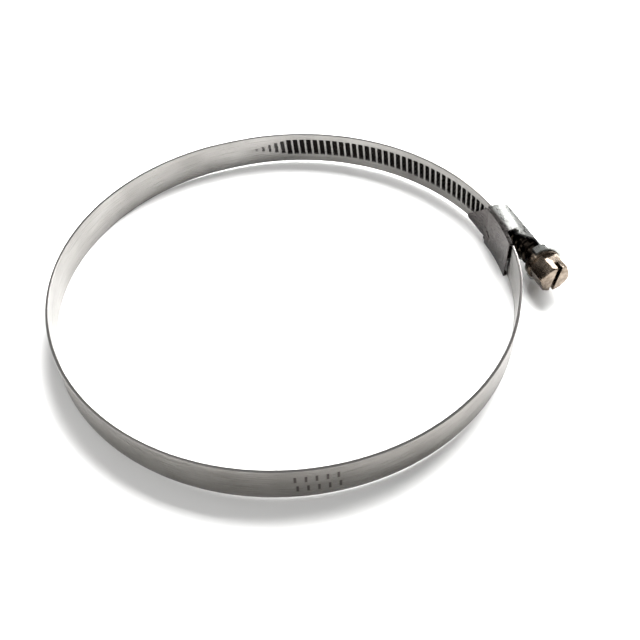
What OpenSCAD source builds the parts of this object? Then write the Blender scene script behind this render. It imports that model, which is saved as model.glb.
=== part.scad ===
// Worm-drive hose clamp, drawn fully open.
// The hose axis is Z and the origin is the centre of the bore, halfway up the strap.
// The screw lies along Y, outside the strap on the +X side, with its head towards -Y.
// The strap rides up over the housing's floor there, so the curve of its threaded end
// has its own centre, a little towards the housing.
// The strap is one thin steel strip. It flexes as the screw draws it in, so it is cut
// into short stretches that hinge on each other along its inner surface.

/* [Strap] */
// Largest hose that the clamp goes round, measured across the strap's inner surface
bore_d = 110; // [90:1:140]
// Smallest hose, with the strap drawn right in
min_bore_d = 90; // [70:1:105]
// Width of the strap
strap_w = 9; // [7:0.5:12]
// Thickness of the strap
strap_t = 0.65; // [0.5:0.05:0.8]
// Number of stretches that the plain strap is cut into
stretches = 10; // [8:1:14]
// How far the fixed end lies below the threaded end
joggle = 1.15; // [0.9:0.05:1.4]
// Distance from the hose axis to the centre of the threaded end's curve
centre_shift = 2; // [1:0.1:3]

/* [Pressed thread] */
// Distance from one pressed rib to the next, before it is rounded to divide the circle
rib_pitch = 1.95; // [1.6:0.05:2.4]
// Height of a rib above the strap's outer surface
rib_h = 0.55; // [0.4:0.05:0.7]
// Length of a rib across the strap
rib_len = 5; // [3:0.1:5.5]
// Width of a rib where it leaves the strap
rib_w = 1.1; // [0.8:0.05:1.2]
// Thickness of metal left at the top of a rib
rib_skin = 0.45; // [0.35:0.05:0.5]
// How far the thread and the screw sit above the middle of the strap
thread_z = 0.3; // [0:0.1:0.8]

/* [Screw] */
// Outside diameter of the worm
worm_d = 6.4; // [6:0.1:9]
// Depth of the worm's thread
worm_depth = 0.7; // [0.5:0.05:0.9]
// Width of the worm's crest
crest_w = 0.3; // [0.2:0.05:0.4]
// Diameter of the plain neck that turns in the collar
neck_d = 5.2; // [4:0.1:5.6]
// Diameter of the flange behind the head
flange_d = 8.3; // [8:0.1:9]
// Thickness of the flange
flange_t = 1.5; // [1:0.1:2]
// Size of the hexagon across its flats
hex_af = 7; // [6:0.5:8]
// Length of the hexagon
hex_len = 5.4; // [4:0.1:7]
// Width of the driver slot
slot_w = 1.2; // [0.8:0.1:1.6]
// Depth of the driver slot
slot_depth = 2.3; // [1:0.1:3]
// How far the head is turned when the clamp is fully open
head_turn = 100; // [0:1:180]

/* [Housing] */
// Length of the housing from its back wall to the collar
housing_len = 17; // [15:0.5:22]
// Part of that length that lies behind the point where the strap touches the screw's line
back_len = 2; // [2:0.5:5]
// Thickness of the sheet that the housing is bent from
sheet_t = 0.65; // [0.5:0.05:0.8]
// Length of the collar round the screw's neck
collar_len = 1.9; // [1.5:0.1:3]
// Length of the window in each side, from the collar
window_len = 7; // [5:0.5:9]
// Length of the same window where it ends at the crown of the dome
crown_len = 4; // [3:0.5:6]
// How far the tongue reaches out of the back of the housing
tongue_len = 7.3; // [4:0.1:9]

/* [Fits] */
// Radial clearance of the neck in its collar
neck_play = 0.07; // [0.03:0.01:0.1]
// Gap between the worm's crest and the strap, and between the worm and the housing
worm_gap = 0.15; // [0.1:0.05:0.25]
// Gap between the strap's edges and the housing
edge_gap = 0.15; // [0.1:0.05:0.3]

/* [Hidden] */
$fn = 96;
eps = 0.01;

// Strap: bore_r and strap_r from the hose axis, the others from the centre of the tail's curve.
// The housing's floor just touches the hose.
under_gap = 0.05;
bore_r = bore_d / 2;
strap_r = bore_r + strap_t;
tail_r = bore_r - centre_shift + sheet_t + under_gap + joggle;
tail_out_r = tail_r + strap_t;
rib_top_r = tail_out_r + rib_h;
mesh_r = tail_out_r + rib_h / 2;
ribs_round = round(2 * PI * mesh_r / rib_pitch);
rib_step = 360 / ribs_round;
pitch = 2 * PI * mesh_r / ribs_round;
travel_deg = 180 * (bore_d - min_bore_d) / tail_r;

// Ribs are numbered from the one level with the origin
first_rib = -3;
last_rib = ceil((travel_deg + 4) / rib_step);
free_end_deg = (first_rib - 0.5) * rib_step;
join_deg = (last_rib + 0.5) * rib_step;
runout = [1, 0.9, 0.75, 0.55, 0.35, 0.15];
rib_top_w = rib_w * 0.75;
pocket_floor_w = rib_w * 0.45;
pocket_mouth_w = rib_w * 1.09;

// Screw
worm_r = worm_d / 2;
root_r = worm_r - worm_depth;
worm_x = tail_out_r + worm_gap + worm_r;
thread_foot_w = crest_w + 0.3;
slant = atan(pitch / (2 * PI * (worm_r - rib_h / 2)));

// Housing, along Y
back_y = back_len;
front_y = back_len - housing_len;
collar_y = front_y - collar_len;
web_t = sheet_t;
flange_gap = 0.1;
flange_y = front_y - web_t - flange_gap;
hex_y = flange_y - flange_t;
head_y = hex_y - hex_len;
plate_y = front_y + 2.5;
plate_back_y = back_y - 1.7;
open_gap = 3.9;

// Housing, across
fixed_r = tail_r - joggle;
plate_out_r = fixed_r - under_gap;
plate_in_r = plate_out_r - sheet_t;
relief_r = plate_in_r + 0.17;
shoulder_in_r = rib_top_r + 0.25;
shoulder_out_r = shoulder_in_r + sheet_t;
channel_w = strap_w + 2 * edge_gap;
housing_w = channel_w + 2 * sheet_t;
bore_in_r = worm_r + worm_gap;
dome_r = bore_in_r + sheet_t;
collar_in_r = flange_d / 2 + worm_gap;
collar_r = collar_in_r + sheet_t;

// The strap's plain part, as angles round the hose axis. It runs from the tail's curve
// on to the hose's, and off again under the tail.
join_from = atan2(tail_r * sin(join_deg), centre_shift + tail_r * cos(join_deg));
open_end_y = plate_y + 0.1;
open_end_x = centre_shift + sqrt(fixed_r * fixed_r - open_end_y * open_end_y);
open_end_deg = 360 + atan2(open_end_y, open_end_x);
stretch_deg = (open_end_deg - join_from) / stretches;
settle_from = (last_rib + len(runout) + 0.5) * rib_step;
settle_to = settle_from + 12;
joggle_from = 325;
joggle_to = 338;
fixed_start_y = plate_y + open_gap;
tip_r = 0.9;

stainless = [0.62, 0.61, 0.60];
housing_grey = [0.55, 0.54, 0.53];
zinc = [0.72, 0.66, 0.54];

function two(i) = i < 10 ? str("0", i) : str(i);
function stretch_name(i) = str("strap_stretch_", two(i));

// Moves to the centre of the tail's curve
module at_tail() translate([centre_shift, 0, 0]) children();

// A sector of a ring round the Z axis
module ring(r1, r2, w, from, to)
    rotate([0, 0, from])
        rotate_extrude(angle = to - from, $fn = 180)
            translate([r1, -w / 2]) square([r2 - r1, w]);

// A straight bar along Y between two places
module along_y(y1, y2) translate([0, y1, 0]) rotate([-90, 0, 0]) linear_extrude(y2 - y1) children();

// A round bar on the screw's axis
module on_axis(y1, y2, r) translate([worm_x, y1, thread_z]) rotate([-90, 0, 0]) cylinder(y2 - y1, r, r);

// A flat-sided wedge that stands on the strap, along Z, at one rib's place.
// It is w1 wide at radius r1 and w2 wide at radius r2.
module rib_wedge(deg, r1, w1, r2, w2, len)
    rotate([0, 0, deg])
        translate([0, 0, thread_z])
            rotate([-slant, 0, 0])
                linear_extrude(len, center = true)
                    polygon([[r1, -w1 / 2], [r2, -w2 / 2], [r2, w2 / 2], [r1, w1 / 2]]);

// One pressed rib, and the pocket that pressing it leaves on the inner side
module rib(deg, size = 1) {
    foot_r = tail_r + strap_t / 2;
    rib_wedge(deg, foot_r, rib_w, tail_out_r + rib_h * size, rib_top_w, rib_len * size);
}
module pocket(deg, size = 1) {
    floor_r = tail_out_r + rib_h * size - rib_skin;
    rib_wedge(deg, tail_r - eps, pocket_mouth_w, floor_r, pocket_floor_w, (rib_len - 0.5) * size);
}

// Inner radius of the plain strap at an angle round the hose axis
function eased(u) = u <= 0 ? 0 : u >= 1 ? 1 : u * u * (3 - 2 * u);
function shifted_r(r, deg) =
    centre_shift * cos(deg) + sqrt(r * r - pow(centre_shift * sin(deg), 2));
function strap_in_r(deg) = deg < 180
    ? bore_r + (shifted_r(tail_r, deg) - bore_r) * (1 - eased((deg - settle_from) / (settle_to - settle_from)))
    : bore_r + (shifted_r(fixed_r, deg) - bore_r) * eased((deg - joggle_from) / (joggle_to - joggle_from));
function polar(r, deg) = [r * cos(deg), r * sin(deg)];

module strap_threaded_end() color(stainless)
    at_tail() difference() {
        union() {
            ring(tail_r, tail_out_r, strap_w, free_end_deg, join_deg);
            for (n = [first_rib:last_rib]) rib(n * rib_step);
        }
        for (n = [first_rib:last_rib]) pocket(n * rib_step);
    }

// Strap that isn't on the hose's own circle
module strap_curve(from, to) {
    steps = 28;
    degs = [for (i = [0:steps]) from + (to - from) * i / steps];
    inner = [for (d = degs) polar(strap_in_r(d), d)];
    outer = [for (i = [steps:-1:0]) polar(strap_in_r(degs[i]) + strap_t, degs[i])];
    linear_extrude(strap_w, center = true) polygon(concat(inner, outer));
}

// The thread runs out over the first stretch, in marks that shrink to a dot
module strap_runout_stretch(from, to)
    difference() {
        union() {
            strap_curve(from - 0.5, to);
            at_tail() for (n = [0:len(runout) - 1]) rib((last_rib + 1 + n) * rib_step, runout[n]);
        }
        at_tail() {
            for (n = [0:len(runout) - 1]) pocket((last_rib + 1 + n) * rib_step, runout[n]);
            ring(tail_r - 2, tail_r + 3, strap_w + 1, join_deg - 4, join_deg);
        }
    }

module strap_stretch(i) color(stainless) {
    from = join_from + (i - 1) * stretch_deg;
    to = from + stretch_deg;
    if (i == 1) strap_runout_stretch(from, to);
    else if (from >= settle_to && to <= joggle_from) ring(bore_r, strap_r, strap_w, from, to);
    else strap_curve(from, to);
}

// The fixed end lies in the housing under the threaded end, and its tapered tongue
// comes out at the back. The tongue curves a little tighter than the strap.
module tongue_outline() {
    tip = [back_y + tongue_len - tip_r, -strap_w / 2 + 0.8 + tip_r];
    corner = [back_y + 0.2, strap_w / 2];
    heel = [back_y + tongue_len * 0.25, -strap_w / 2];
    away = tip - corner;
    down = tip - heel;
    from_deg = atan2(down[1], down[0]) - 90 + asin(tip_r / norm(down));
    to_deg = atan2(away[1], away[0]) + 90 - asin(tip_r / norm(away));
    round_tip = [for (i = [0:12]) let (a = from_deg + (to_deg - from_deg) * i / 12)
                 tip + tip_r * [cos(a), sin(a)]];
    polygon(concat([[fixed_start_y, -strap_w / 2], heel], round_tip,
                   [corner, [fixed_start_y, strap_w / 2]]));
}

module tongue_block() rotate([90, 0, 90]) linear_extrude(tail_r + 5) tongue_outline();

module strap_fixed_end() color(stainless) at_tail() {
    tight_x = (bore_d - min_bore_d) / 2;
    tight_r = fixed_r - tight_x;
    reach = tongue_len + back_y + 1;
    intersection() {
        tongue_block();
        ring(fixed_r, fixed_r + strap_t, strap_w, -20, 0);
    }
    intersection() {
        tongue_block();
        translate([tight_x, 0, 0])
            ring(tight_r, tight_r + strap_t, strap_w, 0, asin(reach / tight_r));
    }
}

// The worm: a ridge swept along a right-hand helix round the screw's axis
module worm_ridge(y1, y2) {
    per_turn = 36;
    turns = (y2 - y1) / pitch;
    steps = round(turns * per_turn);
    start_deg = 360 * y1 / pitch;
    sunk_r = root_r - 0.2;
    section = [[sunk_r, -thread_foot_w / 2], [worm_r, -crest_w / 2],
               [worm_r, crest_w / 2], [sunk_r, thread_foot_w / 2]];
    points = [for (i = [0:steps]) let (a = start_deg + 360 * turns * i / steps)
              for (p = section) [p[0] * cos(a), pitch * a / 360 + p[1], -p[0] * sin(a)]];
    sides = [for (i = [0:steps - 1], k = [0:3])
             [4 * i + k, 4 * i + (k + 1) % 4, 4 * i + 4 + (k + 1) % 4, 4 * i + 4 + k]];
    last = 4 * steps;
    ends = [[3, 2, 1, 0], [last, last + 1, last + 2, last + 3]];
    polyhedron(points, concat(sides, ends), convexity = 10);
}

// The hexagon, with its front corners turned off
module hex_head()
    translate([worm_x, 0, thread_z]) rotate([0, head_turn, 0])
        difference() {
            intersection() {
                translate([0, head_y, 0]) rotate([-90, 30, 0])
                    cylinder(hex_len + eps, hex_af / sqrt(3), hex_af / sqrt(3), $fn = 6);
                translate([0, head_y, 0]) rotate([-90, 0, 0])
                    cylinder(hex_len + eps, hex_af / 2 - 0.15, hex_af / 2 - 0.15 + hex_len * 1.6);
            }
            translate([-hex_af, head_y - eps, -slot_w / 2]) cube([2 * hex_af, slot_depth, slot_w]);
        }

module worm_screw() color(zinc) at_tail() {
    wall_y = back_y - web_t;
    tip_gap = 0.15;
    translate([worm_x, 0, thread_z]) worm_ridge(front_y + 1.8, wall_y - 0.45);
    on_axis(front_y + 1, wall_y - tip_gap, root_r);
    on_axis(wall_y - 1, back_y, root_r / 2);
    on_axis(flange_y - eps, front_y + 1 + eps, neck_d / 2);
    on_axis(hex_y, flange_y, flange_d / 2);
    hex_head();
}

// The part of the housing that wraps round the two strap ends
module cradle()
    intersection() {
        ring(plate_in_r, shoulder_out_r, housing_w, -30, 30);
        translate([0, front_y, -housing_w / 2]) cube([worm_x, housing_len, housing_w]);
    }

// The long dome over the worm
module dome()
    along_y(front_y, back_y) {
        translate([worm_x, -thread_z]) circle(dome_r);
        translate([tail_r - 0.5, -thread_z - dome_r]) square([worm_x - tail_r + 0.5, 2 * dome_r]);
    }

module collar()
    difference() {
        on_axis(collar_y, front_y + eps, collar_r);
        translate([0, collar_y - 1, -housing_w]) cube([rib_top_r + 0.3, collar_len + 2, 2 * housing_w]);
    }

// A window cut in one side of the dome, above the floor. It is shorter at the crown,
// with a rounded corner.
module window(side) {
    corner = 1;
    low_x = tail_r - 3;
    flank_x = worm_x - 0.8 * dome_r;
    lip = 0.25;
    inner_z = side > 0 ? thread_z + root_r / 2 : -housing_w;
    height = side > 0 ? housing_w : housing_w + thread_z - root_r / 2;
    translate([0, 0, inner_z])
        linear_extrude(height)
            difference() {
                hull() {
                    translate([low_x, front_y]) square([flank_x - low_x, window_len]);
                    translate([low_x, front_y]) square([worm_x - low_x, eps]);
                    translate([worm_x - corner, front_y + crown_len - corner]) circle(corner, $fn = 48);
                }
                circle(plate_out_r + lip);
            }
}

// Short dents that lock the folded plate to the strap's fixed end
module clinch(y, z, turn)
    translate([plate_in_r, y, z]) rotate([turn, 0, 0]) cube([0.5, 2.2, 0.5], center = true);

module housing() color(housing_grey) at_tail() {
    wall_y = back_y - web_t;
    difference() {
        union() {
            cradle();
            dome();
            collar();
        }
        ring(plate_out_r, shoulder_in_r, channel_w, -30, 30);
        ring(relief_r, plate_out_r + eps, channel_w, -30, asin((fixed_start_y - 0.1) / fixed_r));
        on_axis(front_y, wall_y, bore_in_r);
        translate([tail_r - 1, front_y - 1, thread_z - bore_in_r])
            cube([worm_x - tail_r + 1, wall_y - front_y + 1, 2 * bore_in_r]);
        on_axis(wall_y - 1, back_y + 1, root_r / 2 + neck_play);
        on_axis(collar_y - 1, front_y - web_t, collar_in_r);
        on_axis(collar_y - 1, front_y + 1, neck_d / 2 + neck_play);
        for (side = [-1, 1]) window(side);
        translate([plate_in_r - 5, front_y - 1, -housing_w])
            cube([tail_r - plate_in_r + 5.5, plate_y - front_y + 1, 2 * housing_w]);
        translate([plate_in_r - 5, plate_back_y, -housing_w])
            cube([plate_out_r - plate_in_r + 5, back_len, 2 * housing_w]);
        clinch(-1, -1.5, 35);
        clinch(-6, 1.2, -35);
        clinch(-8.2, -1.6, 35);
    }
}

housing();
strap_fixed_end();
worm_screw();
strap_threaded_end();
for (i = [1:stretches]) strap_stretch(i);
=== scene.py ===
# A worm-drive hose clamp lying on its side, fully open.
# The strap is modelled as one bent strip, in bands that reach from the middle of one stretch to the
# middle of the next.
# Its pressed thread is made by a Geometry Nodes tree.
import math

import bmesh
import bpy
import numpy as np
from mathutils import Euler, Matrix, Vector


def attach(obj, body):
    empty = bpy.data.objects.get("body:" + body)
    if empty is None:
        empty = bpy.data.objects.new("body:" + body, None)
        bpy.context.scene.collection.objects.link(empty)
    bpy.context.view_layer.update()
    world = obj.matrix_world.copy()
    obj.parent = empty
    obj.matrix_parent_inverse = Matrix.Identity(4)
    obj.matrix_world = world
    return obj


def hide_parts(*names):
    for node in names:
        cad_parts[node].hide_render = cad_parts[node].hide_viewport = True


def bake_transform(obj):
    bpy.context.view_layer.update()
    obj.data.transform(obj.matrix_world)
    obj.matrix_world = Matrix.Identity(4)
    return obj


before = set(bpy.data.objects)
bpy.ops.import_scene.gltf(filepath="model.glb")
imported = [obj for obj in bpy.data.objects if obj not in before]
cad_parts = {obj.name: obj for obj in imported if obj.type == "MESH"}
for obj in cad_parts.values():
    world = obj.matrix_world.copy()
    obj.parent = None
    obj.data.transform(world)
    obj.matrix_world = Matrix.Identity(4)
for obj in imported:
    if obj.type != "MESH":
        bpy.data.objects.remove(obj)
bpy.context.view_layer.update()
MM = 0.001
UV_UNIT_MM = 100
METRE_MM = 1000
UV_OUTER_ROW_MM = 12

# Sizes in millimetres, as in the part's source
BORE_R = 55.0
TAIL_R = 54.85
TAIL_X = 2.0
FIXED_R = 53.7
STRAP_T = 0.65
STRAP_W = 9.0
FREE_END_DEG = -7.0
JOIN_DEG = 71.0
SETTLE = (83.0, 95.0)
JOGGLE = (325.0, 338.0)
OPEN_END_Y = -12.4
STRETCHES = 10
RIB_STEP_DEG = 2.0
FIRST_RIB, LAST_RIB = -3, 35
THREAD_Z = 0.3
SCREW_X = 60.85
HOUSING_FRONT_Y = -15.0
BORE_IN_R = 3.35
LYING_Z = (-4.5, -5.3)


# ---------------------------------------------------------------- materials

def colour(code):
    """A linear colour from an sRGB hex code."""
    parts = [int(code[i:i + 2], 16) / 255 for i in (1, 3, 5)]
    return [p / 12.92 if p <= 0.04045 else ((p + 0.055) / 1.055) ** 2.4 for p in parts] + [1.0]


def add(tree, kind, settings=None, inputs=None):
    """One node with its settings. An input is a value, or a socket to link from.
    The setting "stops" holds two (place, hex colour) pairs for a colour ramp."""
    made = tree.nodes.new(kind)
    for name, value in (settings or {}).items():
        if name == "stops":
            for stop, (place, code) in zip(made.color_ramp.elements, value):
                stop.position, stop.color = place, colour(code)
        else:
            setattr(made, name, value)
    for key, value in (inputs or {}).items():
        if isinstance(value, bpy.types.NodeSocket):
            tree.links.new(value, made.inputs[key])
        else:
            made.inputs[key].default_value = value
    return made


def blank_material(name):
    material = bpy.data.materials.new(name)
    material.use_nodes = True
    tree = material.node_tree
    return material, tree, tree.nodes["Principled BSDF"]


def grain(tree, vector, size_mm, per_unit_mm, detail=3.0, rough=0.5, stretch=(1, 1, 1)):
    """A random pattern of grains size_mm across, on coordinates whose unit is per_unit_mm long."""
    scale = [per_unit_mm / size_mm / s for s in stretch]
    place = add(tree, "ShaderNodeMapping", inputs={"Vector": vector, "Scale": scale})
    return add(tree, "ShaderNodeTexNoise", {"noise_dimensions": "3D"},
               {"Vector": place.outputs["Vector"], "Scale": 1.0, "Detail": detail,
                "Roughness": rough}).outputs["Fac"]


def rolled_strap_steel():
    """Stainless strip, cold rolled: smooth, with fine lines along its length that
    stretch each highlight across it, a few pits, an outer side a little darker as painted
    shade, darker sheared edges, and near-black painted shade in the pressed pockets."""
    material, tree, shader = blank_material("cold_rolled_stainless_strip")
    uv = add(tree, "ShaderNodeUVMap", {"uv_map": "along"}).outputs["UV"]
    lines = grain(tree, uv, 0.16, UV_UNIT_MM, 4, 0.6, stretch=(70, 1, 1))
    cloudy = grain(tree, uv, 9.0, UV_UNIT_MM, 2, 0.5, stretch=(1.8, 1, 1))
    pits = grain(tree, uv, 0.45, UV_UNIT_MM, 1, 0.4)
    outside = add(tree, "ShaderNodeAttribute", {"attribute_name": "outside"}).outputs["Fac"]
    stamped = add(tree, "ShaderNodeAttribute", {"attribute_name": "stamped"}).outputs["Fac"]
    pocket = add(tree, "ShaderNodeAttribute", {"attribute_name": "pocket"}).outputs["Fac"]
    inner = add(tree, "ShaderNodeValToRGB", {"stops": ((0.3, "#888683"), (0.7, "#a09e9b"))},
                {"Fac": cloudy}).outputs["Color"]
    # painted shade: the outer side is coloured a little darker than the inner side
    outer = add(tree, "ShaderNodeValToRGB", {"stops": ((0.3, "#807d79"), (0.7, "#989591"))},
                {"Fac": cloudy}).outputs["Color"]
    sides_with_painted_shade = add(tree, "ShaderNodeMix", {"data_type": "RGBA"},
                {"Factor": outside, 6: inner, 7: outer}).outputs[2]
    line_tint = add(tree, "ShaderNodeValToRGB", {"stops": ((0.35, "#d9d9d9"), (0.6, "#ffffff"))},
                    {"Fac": lines}).outputs["Color"]
    lined = add(tree, "ShaderNodeMix", {"data_type": "RGBA", "blend_type": "MULTIPLY"},
                {"Factor": 0.6, 6: sides_with_painted_shade, 7: line_tint}).outputs[2]
    pit_mask = add(tree, "ShaderNodeMapRange", {"interpolation_type": "SMOOTHSTEP"},
                   {"Value": pits, "From Min": 0.80, "From Max": 0.86}).outputs["Result"]
    marks = add(tree, "ShaderNodeMath", {"operation": "MAXIMUM"}, {0: pit_mask, 1: stamped}).outputs[0]
    final = add(tree, "ShaderNodeMix", {"data_type": "RGBA"},
                {"Factor": marks, 6: lined, 7: colour("#4b4644")}).outputs[2]
    # painted shade: the pressed pockets are coloured near black
    pocket_painted_shade = add(tree, "ShaderNodeMix", {"data_type": "RGBA"},
                 {"Factor": pocket, 6: final, 7: colour("#151312")}).outputs[2]
    across = add(tree, "ShaderNodeAttribute", {"attribute_name": "z_mm"}).outputs["Fac"]
    off_middle = add(tree, "ShaderNodeMath", {"operation": "ABSOLUTE"}, {0: across}).outputs[0]
    sheared = add(tree, "ShaderNodeMapRange", None,
                  {"Value": off_middle, "From Min": STRAP_W / 2 - 0.16, "From Max": STRAP_W / 2 - 0.06})
    edged = add(tree, "ShaderNodeMix", {"data_type": "RGBA"},
                {"Factor": sheared.outputs["Result"], 6: pocket_painted_shade, 7: colour("#8f8c8a")}).outputs[2]
    tree.links.new(edged, shader.inputs["Base Color"])
    tangent = add(tree, "ShaderNodeTangent", {"direction_type": "UV_MAP", "uv_map": "along"})
    tree.links.new(tangent.outputs["Tangent"], shader.inputs["Tangent"])
    shader.inputs["Anisotropic"].default_value = 0.8
    shader.inputs["Anisotropic Rotation"].default_value = 0.25
    rough = add(tree, "ShaderNodeMapRange", None,
                {"Value": lines, "From Min": 0.3, "From Max": 0.7, "To Min": 0.24, "To Max": 0.36})
    tree.links.new(rough.outputs["Result"], shader.inputs["Roughness"])
    shader.inputs["Metallic"].default_value = 1.0
    bump = add(tree, "ShaderNodeBump", None, {"Height": lines, "Strength": 0.25, "Distance": 0.004 * MM})
    tree.links.new(bump.outputs["Normal"], shader.inputs["Normal"])
    return material


def pressed_housing_steel():
    """Stainless sheet, pressed and bent: satin, with faint draw lines along the screw's
    direction, a scuffed pattern with painted shade darkening the floor plate, and near-black
    painted shade in the bore round the worm."""
    material, tree, shader = blank_material("pressed_stainless_sheet")
    place = add(tree, "ShaderNodeTexCoord").outputs["Object"]
    lines = grain(tree, place, 0.12, METRE_MM, 4, 0.6, stretch=(1, 60, 1))
    cloudy = grain(tree, place, 3.5, METRE_MM, 3, 0.5)
    scuffs = grain(tree, place, 0.5, METRE_MM, 2, 0.7, stretch=(1, 3, 1))
    base = add(tree, "ShaderNodeValToRGB", {"stops": ((0.3, "#969794"), (0.7, "#adaeab"))},
               {"Fac": cloudy}).outputs["Color"]
    tint = add(tree, "ShaderNodeValToRGB", {"stops": ((0.3, "#cfcfcf"), (0.65, "#ffffff"))},
               {"Fac": lines}).outputs["Color"]
    lined = add(tree, "ShaderNodeMix", {"data_type": "RGBA", "blend_type": "MULTIPLY"},
                {"Factor": 0.5, 6: base, 7: tint}).outputs[2]
    # painted shade: the bore round the worm is coloured near black
    off_axis = add(tree, "ShaderNodeVectorMath", {"operation": "MULTIPLY_ADD"},
                   {0: place, 1: (1, 0, 1), 2: (-SCREW_X * MM, 0, -THREAD_Z * MM)}).outputs["Vector"]
    from_axis = add(tree, "ShaderNodeVectorMath", {"operation": "LENGTH"}, {0: off_axis}).outputs["Value"]
    inside = add(tree, "ShaderNodeMapRange", {"interpolation_type": "SMOOTHSTEP"},
                 {"Value": from_axis, "From Min": (BORE_IN_R + 0.3) * MM,
                  "From Max": (BORE_IN_R + 0.1) * MM}).outputs["Result"]
    # painted shade: the floor plate, inward of the tail, is darker, with a scuffed pattern
    outward = add(tree, "ShaderNodeSeparateXYZ", None, {"Vector": place}).outputs["X"]
    under = add(tree, "ShaderNodeMapRange", {"interpolation_type": "SMOOTHSTEP"},
                {"Value": outward, "From Min": (TAIL_X + TAIL_R) * MM,
                 "From Max": (TAIL_X + FIXED_R) * MM}).outputs["Result"]
    scuffed_plate_painted_shade = add(tree, "ShaderNodeValToRGB", {"stops": ((0.35, "#3a3635"), (0.7, "#5a5654"))},
               {"Fac": scuffs}).outputs["Color"]
    with_plate_painted_shade = add(tree, "ShaderNodeMix", {"data_type": "RGBA"},
                  {"Factor": under, 6: lined, 7: scuffed_plate_painted_shade}).outputs[2]
    inside_housing_painted_shade = add(tree, "ShaderNodeMix", {"data_type": "RGBA"},
                  {"Factor": inside, 6: with_plate_painted_shade, 7: colour("#1b1917")}).outputs[2]
    tree.links.new(inside_housing_painted_shade, shader.inputs["Base Color"])
    rough = add(tree, "ShaderNodeMapRange", None,
                {"Value": scuffs, "From Min": 0.3, "From Max": 0.75, "To Min": 0.22, "To Max": 0.42})
    tree.links.new(rough.outputs["Result"], shader.inputs["Roughness"])
    shader.inputs["Metallic"].default_value = 1.0
    bump = add(tree, "ShaderNodeBump", None, {"Height": scuffs, "Strength": 0.15, "Distance": 0.003 * MM})
    tree.links.new(bump.outputs["Normal"], shader.inputs["Normal"])
    return material


def zinc_screw_steel():
    """Zinc-plated steel with a yellow chromate film: warm and bright, mottled from
    straw to bronze, and darker with painted shade where it lies in the housing."""
    material, tree, shader = blank_material("yellow_zinc_plated_steel")
    place = add(tree, "ShaderNodeTexCoord").outputs["Object"]
    mottle = grain(tree, place, 1.6, METRE_MM, 4, 0.6)
    fine = grain(tree, place, 0.25, METRE_MM, 3, 0.6)
    base = add(tree, "ShaderNodeValToRGB", {"stops": ((0.32, "#5f5449"), (0.62, "#8b7f72"))},
               {"Fac": mottle}).outputs["Color"]
    dark = add(tree, "ShaderNodeMapRange", {"interpolation_type": "SMOOTHSTEP"},
               {"Value": fine, "From Min": 0.62, "From Max": 0.78}).outputs["Result"]
    stained = add(tree, "ShaderNodeMix", {"data_type": "RGBA"},
                  {"Factor": dark, 6: base, 7: colour("#5c4a38")}).outputs[2]
    # painted shade: the screw is coloured darker where it lies inside the housing
    back = add(tree, "ShaderNodeSeparateXYZ", None, {"Vector": place}).outputs["Y"]
    inside = add(tree, "ShaderNodeMapRange", {"interpolation_type": "SMOOTHSTEP"},
                 {"Value": back, "From Min": (HOUSING_FRONT_Y - 0.6) * MM,
                  "From Max": (HOUSING_FRONT_Y + 0.4) * MM}).outputs["Result"]
    inside_housing_painted_shade = add(tree, "ShaderNodeMix", {"data_type": "RGBA"},
                  {"Factor": inside, 6: stained, 7: colour("#3a342e")}).outputs[2]
    tree.links.new(inside_housing_painted_shade, shader.inputs["Base Color"])
    rough = add(tree, "ShaderNodeMapRange", None,
                {"Value": fine, "From Min": 0.3, "From Max": 0.7, "To Min": 0.18, "To Max": 0.34})
    tree.links.new(rough.outputs["Result"], shader.inputs["Roughness"])
    shader.inputs["Metallic"].default_value = 1.0
    bump = add(tree, "ShaderNodeBump", None, {"Height": fine, "Strength": 0.35, "Distance": 0.008 * MM})
    tree.links.new(bump.outputs["Normal"], shader.inputs["Normal"])
    return material


STRAP_STEEL = rolled_strap_steel()
HOUSING_STEEL = pressed_housing_steel()
SCREW_ZINC = zinc_screw_steel()


# ---------------------------------------------------------------- the strap's line

def eased(u):
    u = np.clip(u, 0, 1)
    return u * u * (3 - 2 * u)


def shifted_r(r, deg):
    a = np.radians(deg)
    return TAIL_X * np.cos(a) + np.sqrt(r * r - (TAIL_X * np.sin(a)) ** 2)


def strap_in_r(deg):
    """Inner radius of the plain strap at an angle round the hose axis."""
    on_hose = np.where(deg < 180, shifted_r(TAIL_R, deg), shifted_r(FIXED_R, deg)) - BORE_R
    settle = 1 - eased((deg - SETTLE[0]) / (SETTLE[1] - SETTLE[0]))
    joggle = eased((deg - JOGGLE[0]) / (JOGGLE[1] - JOGGLE[0]))
    return BORE_R + on_hose * np.where(deg < 180, settle, joggle)


def strap_line():
    """Points on the strap's inner surface from the free end on, and their distance along it."""
    tail = np.radians(np.arange(FREE_END_DEG, JOIN_DEG, 0.1))
    on_tail = np.stack([TAIL_X + TAIL_R * np.cos(tail), TAIL_R * np.sin(tail)], 1)
    join = math.atan2(TAIL_R * math.sin(math.radians(JOIN_DEG)),
                      TAIL_X + TAIL_R * math.cos(math.radians(JOIN_DEG)))
    end = 2 * math.pi + math.atan2(OPEN_END_Y, TAIL_X + math.sqrt(FIXED_R ** 2 - OPEN_END_Y ** 2))
    plain = np.linspace(join, end, 2800)
    r = strap_in_r(np.degrees(plain))
    points = np.concatenate([on_tail, np.stack([r * np.cos(plain), r * np.sin(plain)], 1)])
    along = np.concatenate([[0], np.cumsum(np.linalg.norm(np.diff(points, axis=0), axis=1))])
    return points, along, join, end, plain


LINE, ALONG, JOIN, END, PLAIN = strap_line()
JOIN_S = float(np.interp(JOIN, PLAIN, ALONG[-len(PLAIN):]))
TANGENT = np.gradient(LINE, ALONG, axis=0)


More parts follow.
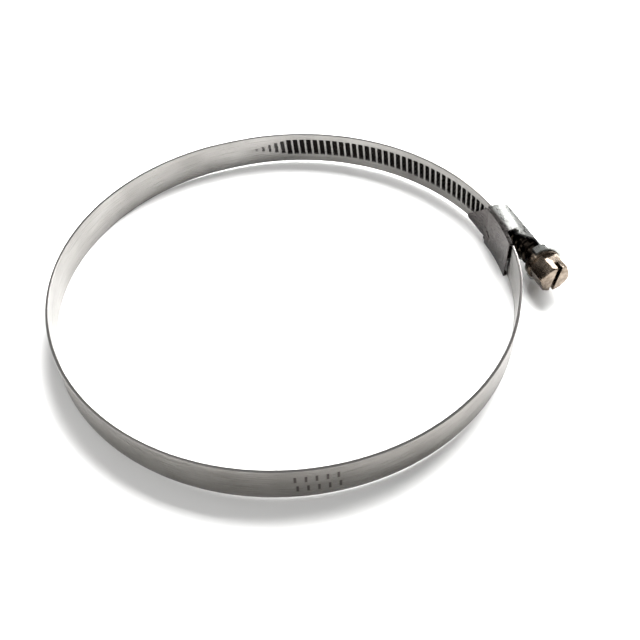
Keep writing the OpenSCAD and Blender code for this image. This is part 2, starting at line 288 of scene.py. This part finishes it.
def at(s):
    """Point, outward direction, at a distance along the strap."""
    p = np.stack([np.interp(s, ALONG, LINE[:, k]) for k in (0, 1)], -1)
    t = np.stack([np.interp(s, ALONG, TANGENT[:, k]) for k in (0, 1)], -1)
    t /= np.linalg.norm(t, axis=-1, keepdims=True)
    return p, np.stack([t[..., 1], -t[..., 0]], -1)


def place_s(turn):
    """Distance along the strap of a stretch's boundary: 0 is the first, at the join."""
    return float(np.interp(JOIN + (END - JOIN) * turn / STRETCHES, PLAIN, ALONG[-len(PLAIN):]))


def rounded_section(step, corner=0.13):
    """The strap's section as a loop of (height above the inner surface, z), in millimetres.
    It runs up the inner face and down the outer one."""
    half = STRAP_W / 2
    zs = np.linspace(-half + corner, half - corner, int(round((STRAP_W - 2 * corner) / step)) + 1)
    turn = np.radians([67.5, 45, 22.5])
    loop = [(0.0, z) for z in zs]
    loop += [(corner - corner * math.sin(a), half - corner + corner * math.cos(a)) for a in turn]
    loop += [(STRAP_T - corner + corner * math.sin(a), half - corner + corner * math.cos(a))
             for a in turn[::-1]]
    loop += [(STRAP_T, z) for z in zs[::-1]]
    loop += [(STRAP_T - corner + corner * math.sin(a), -half + corner - corner * math.cos(a))
             for a in turn]
    loop += [(corner - corner * math.sin(a), -half + corner - corner * math.cos(a))
             for a in turn[::-1]]
    return np.array(loop)


def stamp_depth(s, z):
    """A plain stamp of short bars, two rows, pressed into the outer face.
    It says nothing: it only marks where a clamp of this kind is stamped."""
    bar_pitch, rows_apart, half_row = 2.1, 3.1, 4.4
    half_width, half_height, soft_side, soft_end = 0.32, 1.05, 0.14, 0.2
    hit = np.zeros_like(s)
    for row, shift in ((1, 0.0), (-1, 0.4)):
        up = np.abs(z - row * rows_apart / 2)
        for bar in range(5):
            across = np.abs(s - STAMP_S - (bar * bar_pitch + shift - half_row))
            hit = np.maximum(hit, eased((half_width - across) / soft_side)
                             * eased((half_height - up) / soft_end))
    return hit


STAMP_DEG = 259.5
STAMP_S = float(np.interp(math.radians(STAMP_DEG), PLAIN, ALONG[-len(PLAIN):]))
STAMP_DEPTH = 0.05


def strap_band(name, s0, s1, along_step, across_step, free_end=False):
    """A length of strap as a closed skin, with its distances kept as a UV map and attributes."""
    rows = max(2, int(round((s1 - s0) / along_step)) + 1)
    section = rounded_section(across_step)
    s = np.repeat(np.linspace(s0, s1, rows)[:, None], len(section), 1)
    up = np.repeat(section[None, :, 0], rows, 0)
    z = np.repeat(section[None, :, 1], rows, 0)
    outside = (up > STRAP_T / 2).astype(float)
    stamp = stamp_depth(s, z) * (up > STRAP_T - 0.01)
    up = up - STAMP_DEPTH * stamp
    if free_end:
        # the cut end's corners are rounded off and its edge is thinned
        corner_len, corner_in, edge_len, edge_in = 1.6, 0.16, 0.25, 0.3
        near = np.clip(1 - (s - s0) / corner_len, 0, 1)
        z = z * (1 - corner_in * near ** 3)
        thin = np.clip(1 - (s - s0) / edge_len, 0, 1) ** 2 * edge_in
        up = STRAP_T / 2 + (up - STRAP_T / 2) * (1 - thin)
    base, out = at(s)
    co = np.concatenate([base + out * up[..., None], z[..., None]], -1).reshape(-1, 3) * MM
    m = len(section)
    faces = [(i * m + j, i * m + (j + 1) % m, (i + 1) * m + (j + 1) % m, (i + 1) * m + j)
             for i in range(rows - 1) for j in range(m)]
    # an end cap joins the inner face to the outer one, pair by pair; 12 points are on the corners
    n = (m - 12) // 2
    pairs = [(m - 3 + k, m - 4 - k) for k in (0, 1, 2)]
    pairs += [(j, m - 7 - j) for j in range(n)]
    pairs += [(n, n + 5), (n + 1, n + 4), (n + 2, n + 3)]
    for row, flip in ((0, 1), (rows - 1, -1)):
        for (a, b), (c, d) in zip(pairs, pairs[1:]):
            faces.append(tuple(row * m + k for k in (a, b, d, c)[::flip]))
    mesh = bpy.data.meshes.new(name)
    mesh.from_pydata(co.tolist(), [], faces)
    uv = mesh.uv_layers.new(name="along")
    flat = np.stack([s.ravel(), z.ravel() + UV_OUTER_ROW_MM * (outside.ravel() > 0.5)], 1) / UV_UNIT_MM
    index = np.zeros(len(mesh.loops), int)
    mesh.loops.foreach_get("vertex_index", index)
    uv.data.foreach_set("uv", flat[index].astype(np.float32).ravel())
    for key, values in (("s_mm", s), ("z_mm", z), ("outside", outside), ("stamped", stamp)):
        mesh.attributes.new(key, "FLOAT", "POINT").data.foreach_set(
            "value", values.ravel().astype(np.float32))
    normal = mesh.attributes.new("outward", "FLOAT_VECTOR", "POINT")
    outward = np.concatenate([out, np.zeros(out.shape[:-1] + (1,))], -1)
    normal.data.foreach_set("vector", outward.ravel().astype(np.float32))
    obj = bpy.data.objects.new(name, mesh)
    bpy.context.scene.collection.objects.link(obj)
    return obj


def finish_mesh(obj, material, angle_deg=40):
    """Outward normals, smooth shading up to an angle, and one material."""
    bm = bmesh.new()
    bm.from_mesh(obj.data)
    bmesh.ops.remove_doubles(bm, verts=bm.verts, dist=0.0005 * MM)
    bmesh.ops.recalc_face_normals(bm, faces=bm.faces)
    for edge in bm.edges:
        edge.smooth = len(edge.link_faces) == 2 and edge.calc_face_angle(0) < math.radians(angle_deg)
    for face in bm.faces:
        face.smooth = True
    bm.to_mesh(obj.data)
    bm.free()
    obj.data.materials.clear()
    obj.data.materials.append(material)


# ---------------------------------------------------------------- the pressed thread

def press_tree():
    """Presses one slanted rib after another out of a strap band. Each is a rounded bump
    outside and a deeper pocket inside, and past the last full one they shrink to a dot."""
    tree = bpy.data.node_groups.new("pressed_thread", "GeometryNodeTree")
    face = tree.interface
    face.new_socket("Geometry", in_out="INPUT", socket_type="NodeSocketGeometry")
    sizes = [("Rib pitch", 1.0), ("First rib at", 0.0), ("Full ribs", 1.0), ("Fading ribs", 1.0),
             ("Rib height", 0.5), ("Pocket depth", 0.7), ("Rib half length", 2.0),
             ("Rib half width", 0.5), ("Pocket half width", 0.5), ("Middle height", 0.0),
             ("Slant", 0.1)]
    for name, value in sizes:
        face.new_socket(name, in_out="INPUT", socket_type="NodeSocketFloat").default_value = value
    face.new_socket("Steel", in_out="INPUT", socket_type="NodeSocketMaterial")
    face.new_socket("Geometry", in_out="OUTPUT", socket_type="NodeSocketGeometry")
    given = add(tree, "NodeGroupInput").outputs
    known = {name: given[name] for name, value in sizes}
    for name, kind in (("s_mm", "FLOAT"), ("z_mm", "FLOAT"), ("outside", "FLOAT"),
                       ("outward", "FLOAT_VECTOR")):
        known[name] = add(tree, "GeometryNodeInputNamedAttribute", {"data_type": kind},
                          {"Name": name}).outputs["Attribute"]

    # which rib each point is nearest to, how far it is from the rib's middle, and the rib's size
    nearest = [
        ("high", "SUBTRACT", "z_mm", "Middle height"),
        ("lean", "MULTIPLY", "high", "Slant"),
        ("upright", "SUBTRACT", "s_mm", "lean"),
        ("straight", "SUBTRACT", "upright", "First rib at"),
        ("ribs", "ADD", "Full ribs", "Fading ribs"),
        ("last rib", "SUBTRACT", "ribs", 1.0),
        ("in pitches", "DIVIDE", "straight", "Rib pitch"),
        ("whole", "ROUND", "in pitches"),
        ("up to last", "MINIMUM", "whole", "last rib"),
        ("number", "MAXIMUM", "up to last", 0.0),
        ("rib place", "MULTIPLY", "number", "Rib pitch"),
        ("beside", "SUBTRACT", "straight", "rib place"),
        ("away", "ABSOLUTE", "beside"),
        ("last full", "SUBTRACT", "Full ribs", 1.0),
        ("beyond", "SUBTRACT", "number", "last full"),
        ("past", "MAXIMUM", "beyond", 0.0),
        ("fades", "ADD", "Fading ribs", 1.0),
        ("faded", "DIVIDE", "past", "fades"),
        ("size", "SUBTRACT", 1.0, "faded"),
        ("half", "MULTIPLY", "Rib half length", "size"),
        ("upward", "ABSOLUTE", "high"),
        ("bump least", "MAXIMUM", "size", 0.55),
        ("bump wide", "MULTIPLY", "Rib half width", "bump least"),
        ("bump crown", "MULTIPLY", "bump wide", 0.55),
        ("bump from", "SUBTRACT", "half", 0.35),
        ("bump to", "ADD", "half", 0.1),
        ("hole least", "MAXIMUM", "size", 0.5),
        ("hole wide", "MULTIPLY", "Pocket half width", "hole least"),
        ("hole floor", "MULTIPLY", "hole wide", 0.7),
        ("hole from", "SUBTRACT", "half", 0.35),
    ]
    # smooth flanks, from 1 on the rib to 0 off it: value, where it starts to fall, where it ends
    flanks = [
        ("bump across", "away", "bump crown", "bump wide"),
        ("bump along", "upward", "bump from", "bump to"),
        ("hole across", "away", "hole floor", "hole wide"),
        ("hole along", "upward", "hole from", "half"),
    ]
    # how far each point moves, and how dark the painted shade in a pocket is
    pressing = [
        ("bump", "MULTIPLY", "bump across", "bump along"),
        ("hole", "MULTIPLY", "hole across", "hole along"),
        ("bump full", "MULTIPLY", "bump", "Rib height"),
        ("lift out", "MULTIPLY", "bump full", "size"),
        ("hole full", "MULTIPLY", "hole", "Pocket depth"),
        ("shallower", "POWER", "size", 0.5),
        ("lift in", "MULTIPLY", "hole full", "shallower"),
        ("black", "POWER", "hole", 0.4),
        ("inside", "SUBTRACT", 1.0, "outside"),
        ("black inside", "MULTIPLY", "inside", "shallower"),
        ("pocket", "MULTIPLY", "black", "black inside"),
    ]
    for rows in (nearest, flanks, pressing):
        for name, first, *rest in rows:
            if rows is flanks:
                value, start, end = (known[term] for term in (first, *rest))
                known[name] = add(tree, "ShaderNodeMapRange", {"interpolation_type": "SMOOTHERSTEP"},
                                  {"Value": value, "From Min": start, "From Max": end,
                                   "To Min": 1.0, "To Max": 0.0}).outputs["Result"]
            else:
                terms = {i: known.get(term, term) for i, term in enumerate(rest)}
                known[name] = add(tree, "ShaderNodeMath", {"operation": first}, terms).outputs[0]

    lift = add(tree, "ShaderNodeMix", {"data_type": "FLOAT"},
               {"Factor": known["outside"], 2: known["lift in"], 3: known["lift out"]}).outputs[0]
    lift_m = add(tree, "ShaderNodeMath", {"operation": "MULTIPLY"}, {0: lift, 1: MM}).outputs[0]
    # the pocket mask marks where the strap's material paints near-black shade
    marked = add(tree, "GeometryNodeStoreNamedAttribute", {"data_type": "FLOAT", "domain": "POINT"},
                 {"Geometry": given["Geometry"], "Name": "pocket", "Value": known["pocket"]})
    offset = add(tree, "ShaderNodeVectorMath", {"operation": "SCALE"},
                 {0: known["outward"], "Scale": lift_m}).outputs["Vector"]
    pressed = add(tree, "GeometryNodeSetPosition", None,
                  {"Geometry": marked.outputs["Geometry"], "Offset": offset})
    real = add(tree, "GeometryNodeRealizeInstances", None, {"Geometry": pressed.outputs["Geometry"]})
    dressed = add(tree, "GeometryNodeSetMaterial", None,
                  {"Geometry": real.outputs["Geometry"], "Material": given["Steel"]})
    add(tree, "NodeGroupOutput", None, {"Geometry": dressed.outputs["Geometry"]})
    return tree


def press_thread(obj):
    """Runs the tree on one band and keeps the result as a plain mesh."""
    tree = press_tree()
    pitch = TAIL_R * math.radians(RIB_STEP_DEG)
    first = TAIL_R * math.radians(FIRST_RIB * RIB_STEP_DEG - FREE_END_DEG)
    sizes = {"Rib pitch": pitch, "First rib at": first, "Full ribs": LAST_RIB - FIRST_RIB + 2.0,
             "Fading ribs": 5.0, "Rib height": 0.55, "Pocket depth": 0.75, "Rib half length": 2.5,
             "Rib half width": 0.55, "Pocket half width": 0.68, "Middle height": THREAD_Z,
             "Slant": 0.09, "Steel": STRAP_STEEL}
    modifier = obj.modifiers.new("pressed thread", "NODES")
    modifier.node_group = tree
    for item in tree.interface.items_tree:
        if item.in_out == "INPUT" and item.name in sizes:
            modifier[item.identifier] = sizes[item.name]
    obj.update_tag()
    evaluated = obj.evaluated_get(bpy.context.evaluated_depsgraph_get())
    plain = bpy.data.meshes.new_from_object(evaluated)
    obj.modifiers.clear()
    obj.data = plain


def make_strap():
    marks = [place_s(i) for i in range(STRETCHES + 1)]
    middles = [(a + b) / 2 for a, b in zip(marks, marks[1:])]
    body = ["threaded_end_body"] + [f"stretch_{i:02d}_body" for i in range(1, STRETCHES + 1)]

    def corner(s):
        point = at(np.array([s]))[0][0]
        return (point[0] * MM, point[1] * MM, 0)

    first = strap_band("strap_thread", 0.0, middles[0], 0.13, 0.17, free_end=True)
    press_thread(first)
    finish_mesh(first, STRAP_STEEL, 50)
    corner(marks[0] - 3)
    corner(middles[0])
    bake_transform(first)
    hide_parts("strap_threaded_end", "strap_stretch_01")
    for i in range(1, STRETCHES):
        a, b = middles[i - 1], middles[i]
        fine = a < STAMP_S + 8 and b > STAMP_S - 8
        band = strap_band(f"strap_band_{i:02d}", a, b, 0.12 if fine else 0.6, 0.12 if fine else 0.6)
        finish_mesh(band, STRAP_STEEL)
        corner(a)
        corner(b)
        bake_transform(band)
        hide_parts(f"strap_stretch_{i + 1:02d}")
    last = strap_band("strap_open_end", middles[-1], marks[-1], 0.3, 0.4)
    finish_mesh(last, STRAP_STEEL)
    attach(last, body[-1])


make_strap()


# ---------------------------------------------------------------- housing, tongue and screw

def softened(node, name, material, body, width, angle_deg=30, segments=3):
    """A copy of a CAD node with its sharp edges rounded, in place of the node."""
    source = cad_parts[node]
    mesh = source.data.copy()
    mesh.name = name
    obj = bpy.data.objects.new(name, mesh)
    bpy.context.scene.collection.objects.link(obj)
    bm = bmesh.new()
    bm.from_mesh(mesh)
    bmesh.ops.remove_doubles(bm, verts=bm.verts, dist=0.002 * MM)
    bmesh.ops.dissolve_limit(bm, angle_limit=math.radians(0.6), verts=bm.verts, edges=bm.edges)
    bm.to_mesh(mesh)
    bm.free()
    bevel = obj.modifiers.new("rounded edges", "BEVEL")
    bevel.width = width * MM
    bevel.segments = segments
    bevel.limit_method = "ANGLE"
    bevel.angle_limit = math.radians(angle_deg)
    bevel.use_clamp_overlap = True
    obj.data = bpy.data.meshes.new_from_object(
        obj.evaluated_get(bpy.context.evaluated_depsgraph_get()))
    obj.modifiers.clear()
    finish_mesh(obj, material, 32)
    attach(obj, body)
    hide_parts(node)


softened("housing", "housing_shell", HOUSING_STEEL, "housing_body", 0.12)
softened("strap_fixed_end", "strap_tongue", HOUSING_STEEL, "housing_body", 0.1)
softened("worm_screw", "screw", SCREW_ZINC, "screw_body", 0.1)


# ---------------------------------------------------------------- stage, light and camera

def plain_floor():
    """A pale floor just under the clamp, which lies on the housing and the far edge of the strap."""
    far_x, near_x = -55.65, 58.5
    slope = (LYING_Z[1] - LYING_Z[0]) / (near_x - far_x)
    size = 4000
    corners = [(x, y, LYING_Z[0] + slope * (x - far_x) - 0.02) for x, y in
               ((-size, -size), (size, -size), (size, size), (-size, size))]
    mesh = bpy.data.meshes.new("floor")
    mesh.from_pydata([[c * MM for c in p] for p in corners], [], [(0, 1, 2, 3)])
    obj = bpy.data.objects.new("floor", mesh)
    bpy.context.scene.collection.objects.link(obj)
    material, tree, shader = blank_material("matt_white_board")
    shader.inputs["Base Color"].default_value = colour("#f6f6f5")
    shader.inputs["Roughness"].default_value = 0.9
    shader.inputs["Specular IOR Level"].default_value = 0.1
    mesh.materials.append(material)


def soft_light(name, place, size, watts, tint="#ffffff", seen_in_metal=True):
    data = bpy.data.lights.new(name, "AREA")
    data.shape = "RECTANGLE"
    data.size, data.size_y = size
    data.energy = watts
    data.color = colour(tint)[:3]
    obj = bpy.data.objects.new(name, data)
    obj.location = place
    obj.rotation_euler = (Vector((0, 0, 0)) - Vector(place)).to_track_quat("-Z", "Y").to_euler()
    obj.visible_glossy = seen_in_metal
    bpy.context.scene.collection.objects.link(obj)


def set_camera():
    """From the front left, 45 degrees up, 19 cm from the middle of the loop."""
    azimuth, elevation, roll = math.radians(-15), math.radians(44.6), math.radians(4.1)
    back = Vector((math.sin(azimuth) * math.cos(elevation), -math.cos(azimuth) * math.cos(elevation),
                   math.sin(elevation)))
    data = bpy.data.cameras.new("camera")
    data.lens, data.sensor_width = 44.3, 36
    data.shift_x, data.shift_y = 0.0542, -0.0611
    data.clip_start, data.clip_end = 0.01, 20
    obj = bpy.data.objects.new("camera", data)
    bpy.context.scene.collection.objects.link(obj)
    obj.location = Vector((0.85 * MM, 0, 0)) + back * 191.1 * MM
    obj.rotation_euler = (back.to_track_quat("Z", "Y") @ Euler((0, 0, -roll)).to_quaternion()).to_euler()
    bpy.context.scene.camera = obj


def studio_world():
    """A dim room with a pale ceiling: dark round the horizon, so that the metal has dark edges."""
    world = bpy.data.worlds.new("studio")
    world.use_nodes = True
    tree = world.node_tree
    place = add(tree, "ShaderNodeTexCoord").outputs["Generated"]
    height = add(tree, "ShaderNodeSeparateXYZ", None, {"Vector": place}).outputs["Z"]
    sky = add(tree, "ShaderNodeValToRGB", {"stops": ((0.05, "#4a4847"), (0.75, "#d2d2d2"))},
              {"Fac": height}).outputs["Color"]
    background = tree.nodes["Background"]
    tree.links.new(sky, background.inputs["Color"])
    background.inputs["Strength"].default_value = 0.85
    bpy.context.scene.world = world


plain_floor()
soft_light("key_from_back_right", (0.4, 0.5, 0.7), (0.6, 0.6), 30, seen_in_metal=False)
soft_light("low_card_right", (0.62, 0.4, 0.2), (0.4, 0.3), 7)
soft_light("fill_from_left", (-0.6, -0.1, 0.5), (0.5, 0.5), 1.5)
studio_world()
bpy.context.scene.view_settings.view_transform = "Standard"
set_camera()
